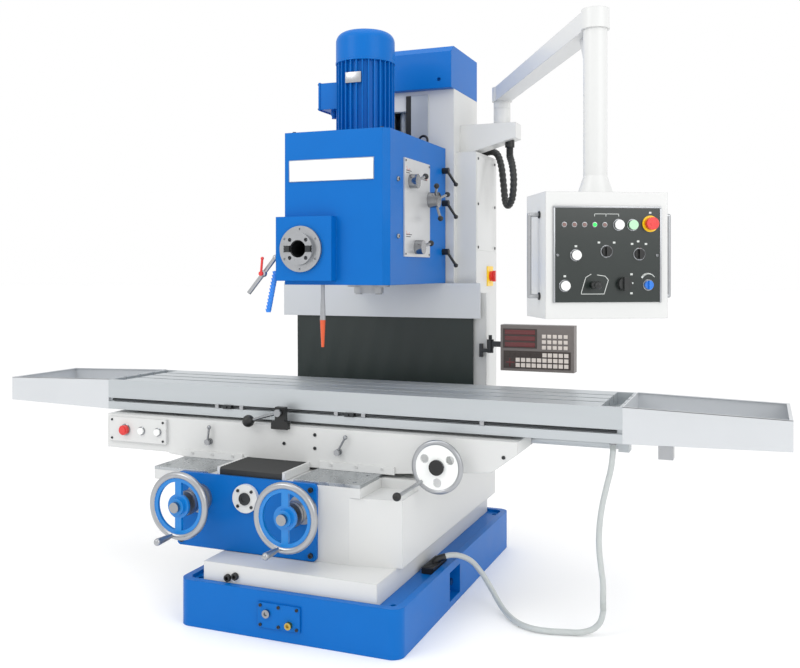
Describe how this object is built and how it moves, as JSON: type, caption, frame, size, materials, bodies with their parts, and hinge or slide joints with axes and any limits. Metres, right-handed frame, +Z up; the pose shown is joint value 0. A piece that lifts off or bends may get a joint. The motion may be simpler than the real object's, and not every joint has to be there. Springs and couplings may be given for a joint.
{
  "type": "bed milling machine",
  "caption": "Bed-type milling machine with vertical and horizontal spindles, long T-slot table on a cross saddle, splash trays, handwheels and a swinging control pendant.",
  "frame": {"origin": "floor level at the centre of the plinth", "axes": "+X to the operator's right along the table, +Y towards the column, +Z up"},
  "size_m": [3.38, 1.563, 2.366],
  "materials": {
    "blue_paint": "gloss",
    "white_paint": "satin",
    "cast_white": "satin",
    "ground_steel": "satin",
    "tray_sheet": "satin",
    "chrome": "polished",
    "dark_steel": "satin",
    "black_rubber": "matt",
    "black_plastic": "matt",
    "hose_plastic": "satin",
    "white_plastic": "gloss",
    "red_plastic": "gloss",
    "green_plastic": "gloss",
    "blue_plastic": "gloss",
    "grey_plastic": "satin"
  },
  "bodies": {
    "base": {"plinth": "blue_paint", "plinth_covers": "blue_paint", "bed": "cast_white", "bed_ways": "ground_steel", "gear_panel": "blue_paint", "feed_barrels": "white_paint", "lead_screws": "ground_steel", "column": "cast_white", "column_cap": "blue_paint", "column_ways": "ground_steel", "column_fittings": "white_paint", "arm_conduit": "black_rubber", "way_bellows": "black_rubber", "apron": "black_rubber", "hose_lower": "hose_plastic"},
    "saddle": {"saddle": "cast_white", "saddle_fittings": "white_paint"},
    "table": {"table": "ground_steel", "tray_left": "tray_sheet", "tray_right": "tray_sheet", "table_fittings": "dark_steel", "hose_upper": "hose_plastic"},
    "head": {"head": "blue_paint", "head_plates": "white_paint", "motor": "blue_paint", "coolant_line": "hose_plastic", "spindle_rings": "ground_steel"},
    "vertical_spindle": {"vertical_spindle": "chrome"},
    "horizontal_spindle": {"horizontal_spindle": "chrome"},
    "wheel_cross": {"wheel_cross": "chrome"},
    "wheel_lift": {"wheel_lift": "chrome"},
    "wheel_table": {"wheel_table": "white_paint"},
    "feed_lever": {"feed_lever": "chrome"},
    "lock_lever_left": {"lock_lever_left": "chrome"},
    "lock_lever_right": {"lock_lever_right": "chrome"},
    "speed_lever": {"speed_lever": "chrome"},
    "range_lever": {"range_lever": "chrome"},
    "quill_lever": {"quill_lever": "chrome"},
    "clamp_lever_top": {"clamp_lever_top": "black_plastic"},
    "clamp_lever_mid": {"clamp_lever_mid": "black_plastic"},
    "clamp_lever_low": {"clamp_lever_low": "black_plastic"},
    "valve_handle": {"valve_handle": "red_plastic"},
    "main_switch": {"main_switch": "red_plastic"},
    "pendant_arm": {"pendant_arm": "white_paint"},
    "pendant": {"pendant": "white_paint"},
    "dro": {"dro": "grey_plastic"},
    "saddle_stop": {"saddle_stop": "red_plastic"},
    "saddle_start": {"saddle_start": "white_plastic"},
    "saddle_jog": {"saddle_jog": "white_plastic"},
    "white_button_top": {"white_button_top": "white_plastic"},
    "green_button": {"green_button": "green_plastic"},
    "pendant_stop": {"pendant_stop": "red_plastic"},
    "white_button_mid": {"white_button_mid": "white_plastic"},
    "selector_left": {"selector_left": "black_plastic"},
    "selector_right": {"selector_right": "black_plastic"},
    "white_button_low": {"white_button_low": "white_plastic"},
    "joystick": {"joystick": "black_plastic"},
    "dark_knob": {"dark_knob": "black_plastic"},
    "blue_knob": {"blue_knob": "blue_plastic"}
  },
  "joints": [
    {"name": "cross_slide", "type": "slide", "parent": "base", "child": "saddle", "axis": [0, 1, 0], "range_m": [-0.18, 0.13], "deforming": ["way_bellows", "hose_lower", "hose_upper"]},
    {"name": "table_slide", "type": "slide", "parent": "saddle", "child": "table", "axis": [1, 0, 0], "range_m": [-0.32, 0.55], "deforming": ["hose_upper"]},
    {"name": "head_slide", "type": "slide", "parent": "base", "child": "head", "axis": [0, 0, 1], "range_m": [-0.16, 0.25], "deforming": ["apron"]},
    {"name": "vertical_spindle_turn", "type": "hinge", "parent": "head", "child": "vertical_spindle", "pos_m": [0, 0.047, 1.26], "axis": [0, 0, 1], "continuous": true},
    {"name": "horizontal_spindle_turn", "type": "hinge", "parent": "head", "child": "horizontal_spindle", "pos_m": [-0.123, -0.35, 1.418], "axis": [0, 1, 0], "continuous": true},
    {"name": "wheel_cross_turn", "type": "hinge", "parent": "base", "child": "wheel_cross", "pos_m": [-0.467, -0.685, 0.437], "axis": [0, 1, 0], "continuous": true},
    {"name": "wheel_lift_turn", "type": "hinge", "parent": "base", "child": "wheel_lift", "pos_m": [-0.008, -0.685, 0.437], "axis": [0, 1, 0], "continuous": true},
    {"name": "wheel_table_turn", "type": "hinge", "parent": "saddle", "child": "wheel_table", "pos_m": [0.47, -0.39, 0.6], "axis": [0, 1, 0], "continuous": true},
    {"name": "feed_lever_turn", "type": "hinge", "parent": "saddle", "child": "feed_lever", "pos_m": [-0.222, -0.36, 0.757], "axis": [0, 1, 0], "range_deg": [-15, 15]},
    {"name": "lock_left_turn", "type": "hinge", "parent": "saddle", "child": "lock_lever_left", "pos_m": [-0.57, -0.34, 0.612], "axis": [0, 1, 0], "range_deg": [-30, 30]},
    {"name": "lock_right_turn", "type": "hinge", "parent": "saddle", "child": "lock_lever_right", "pos_m": [0.032, -0.34, 0.612], "axis": [0, 1, 0], "range_deg": [-30, 30]},
    {"name": "speed_lever_turn", "type": "hinge", "parent": "head", "child": "speed_lever", "pos_m": [0.25, -0.069, 1.701], "axis": [1, 0, 0], "range_deg": [-40, 40]},
    {"name": "range_lever_turn", "type": "hinge", "parent": "head", "child": "range_lever", "pos_m": [0.25, 0.158, 1.64], "axis": [1, 0, 0], "range_deg": [-60, 60]},
    {"name": "quill_lever_turn", "type": "hinge", "parent": "head", "child": "quill_lever", "pos_m": [0.25, -0.004, 1.43], "axis": [1, 0, 0], "range_deg": [-40, 40]},
    {"name": "clamp_top_turn", "type": "hinge", "parent": "head", "child": "clamp_lever_top", "pos_m": [0.24, 0.352, 1.787], "axis": [1, 0, 0], "range_deg": [-25, 19]},
    {"name": "clamp_mid_turn", "type": "hinge", "parent": "head", "child": "clamp_lever_mid", "pos_m": [0.24, 0.352, 1.639], "axis": [1, 0, 0], "range_deg": [-25, 19]},
    {"name": "clamp_low_turn", "type": "hinge", "parent": "head", "child": "clamp_lever_low", "pos_m": [0.24, 0.352, 1.417], "axis": [1, 0, 0], "range_deg": [-25, 19]},
    {"name": "valve_turn", "type": "hinge", "parent": "head", "child": "valve_handle", "pos_m": [-0.30665, -0.345, 1.3193], "axis": [0, 1, 0], "range_deg": [-90, 0]},
    {"name": "main_switch_turn", "type": "hinge", "parent": "base", "child": "main_switch", "pos_m": [0.38, 0.646, 1.305], "axis": [1, 0, 0], "range_deg": [0, 90]},
    {"name": "arm_swing", "type": "hinge", "parent": "base", "child": "pendant_arm", "pos_m": [0.463, 0.54, 2.12], "axis": [0, 0, 1], "range_deg": [-30, 90]},
    {"name": "pendant_swivel", "type": "hinge", "parent": "pendant_arm", "child": "pendant", "pos_m": [1.08598, -0.58389, 1.57], "axis": [0, 0, 1], "range_deg": [-90, 90]},
    {"name": "dro_swing", "type": "hinge", "parent": "base", "child": "dro", "pos_m": [0.45, 0.388, 1], "axis": [0, 0, 1], "range_deg": [-60, 30]},
    {"name": "saddle_stop_press", "type": "slide", "parent": "saddle", "child": "saddle_stop", "axis": [0, 1, 0], "range_m": [0, 0.004], "stiffness_N_per_m": 400},
    {"name": "saddle_start_press", "type": "slide", "parent": "saddle", "child": "saddle_start", "axis": [0, 1, 0], "range_m": [0, 0.004], "stiffness_N_per_m": 400},
    {"name": "saddle_jog_press", "type": "slide", "parent": "saddle", "child": "saddle_jog", "axis": [0, 1, 0], "range_m": [0, 0.004], "stiffness_N_per_m": 400},
    {"name": "white_button_top_press", "type": "slide", "parent": "pendant", "child": "white_button_top", "axis": [-0.4924, 0.8704, 0], "range_m": [0, 0.004], "stiffness_N_per_m": 400},
    {"name": "green_button_press", "type": "slide", "parent": "pendant", "child": "green_button", "axis": [-0.4924, 0.8704, 0], "range_m": [0, 0.004], "stiffness_N_per_m": 400},
    {"name": "pendant_stop_press", "type": "slide", "parent": "pendant", "child": "pendant_stop", "axis": [-0.4924, 0.8704, 0], "range_m": [0, 0.004], "stiffness_N_per_m": 400},
    {"name": "white_button_mid_press", "type": "slide", "parent": "pendant", "child": "white_button_mid", "axis": [-0.4924, 0.8704, 0], "range_m": [0, 0.004], "stiffness_N_per_m": 400},
    {"name": "white_button_low_press", "type": "slide", "parent": "pendant", "child": "white_button_low", "axis": [-0.4924, 0.8704, 0], "range_m": [0, 0.004], "stiffness_N_per_m": 400},
    {"name": "selector_left_turn", "type": "hinge", "parent": "pendant", "child": "selector_left", "pos_m": [1.1406, -0.68856, 1.392], "axis": [-0.4924, 0.8704, 0], "range_deg": [-45, 45]},
    {"name": "selector_right_turn", "type": "hinge", "parent": "pendant", "child": "selector_right", "pos_m": [1.2346, -0.63538, 1.384], "axis": [-0.4924, 0.8704, 0], "range_deg": [-45, 45]},
    {"name": "dark_knob_turn", "type": "hinge", "parent": "pendant", "child": "dark_knob", "pos_m": [1.18934, -0.66098, 1.29], "axis": [-0.4924, 0.8704, 0], "range_deg": [-135, 135]},
    {"name": "blue_knob_turn", "type": "hinge", "parent": "pendant", "child": "blue_knob", "pos_m": [1.26071, -0.6206, 1.286], "axis": [-0.4924, 0.8704, 0], "range_deg": [-135, 135]},
    {"name": "joystick_tilt", "type": "hinge", "parent": "pendant", "child": "joystick", "pos_m": [1.10566, -0.71614, 1.286], "axis": [0.8704, 0.4924, 0], "range_deg": [-12, 12], "stiffness_Nm_per_rad": 1}
  ]
}
